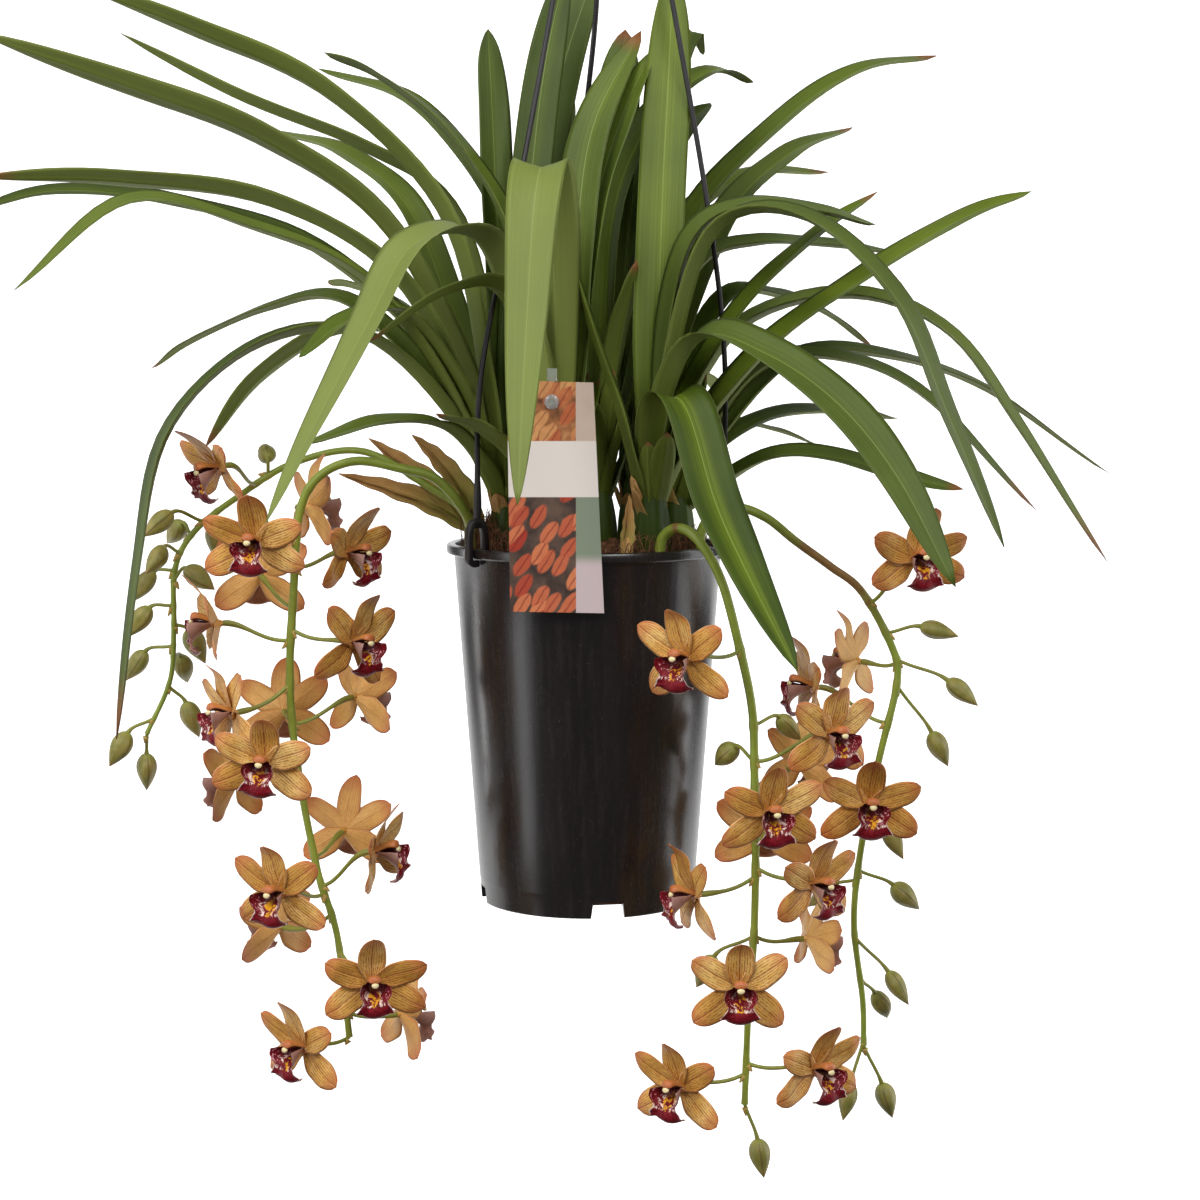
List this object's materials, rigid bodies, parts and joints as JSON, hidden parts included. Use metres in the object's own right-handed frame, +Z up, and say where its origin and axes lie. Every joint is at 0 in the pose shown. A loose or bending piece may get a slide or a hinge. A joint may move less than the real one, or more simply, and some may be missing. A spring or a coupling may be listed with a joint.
{
  "type": "potted cymbidium orchid",
  "caption": "Hanging plastic pot of a cymbidium orchid: strap leaves arch out and flower spikes trail over the rim below a three-strand hanger with a hook.",
  "frame": {"origin": "inner crown of the hook, the point that rests on the bar or bracket it hangs from", "axes": "+Z up, -Y towards the viewer with the plant label, +X to the viewer's right"},
  "size_m": [0.7504, 0.5485, 1.0308],
  "materials": {
    "pot_plastic": "glossy near-black moulded plastic with faint streaks",
    "hanger_plastic": "satin dark moulded plastic",
    "growing_medium": "coarse bark chips with roots, matte",
    "label_card": "satin printed card with plain bands",
    "clear_plastic": "clear smooth plastic",
    "leaf": "leathery green with fine lengthwise veins",
    "stem": "smooth yellow-green",
    "petal": "waxy tan petals with red veins and margins",
    "husk": "dry fibrous sheath, matte"
  },
  "bodies": {
    "root": {"pot": "pot_plastic", "growing_medium": "growing_medium", "hanger_hook": "hanger_plastic", "plant_label": "label_card", "label_stake": "clear_plastic", "hanger_strand_left": "hanger_plastic", "hanger_strand_back": "hanger_plastic", "hanger_strand_right": "hanger_plastic", "growth_left_front": "leaf", "growth_left_back": "leaf", "growth_centre_front": "leaf", "growth_centre": "leaf", "growth_right_front": "leaf", "growth_right_back": "leaf", "growth_back": "leaf", "growth_right": "leaf", "spike_left": "stem", "spike_far_left": "stem", "spike_right": "stem", "spike_far_right": "stem", "husk_left": "husk", "husk_right": "husk", "bloom_01": "petal", "bloom_02": "petal", "bloom_03": "petal", "bloom_04": "petal", "bloom_05": "petal", "bloom_06": "petal", "bloom_07": "petal", "bloom_08": "petal", "bloom_09": "petal", "bloom_10": "petal", "bloom_11": "petal", "bloom_12": "petal", "bloom_13": "petal", "bloom_14": "petal", "bloom_15": "petal", "bloom_16": "petal", "bloom_17": "petal", "bloom_18": "petal", "bloom_19": "petal", "bloom_20": "petal", "bloom_21": "petal", "bloom_22": "petal", "bloom_23": "petal", "bloom_24": "petal", "bloom_25": "petal", "bloom_26": "petal", "bloom_27": "petal", "bloom_28": "petal", "bloom_29": "petal", "bloom_30": "petal", "bloom_31": "petal", "bloom_32": "petal", "bloom_33": "petal", "bloom_34": "petal"}
  },
  "joints": []
}
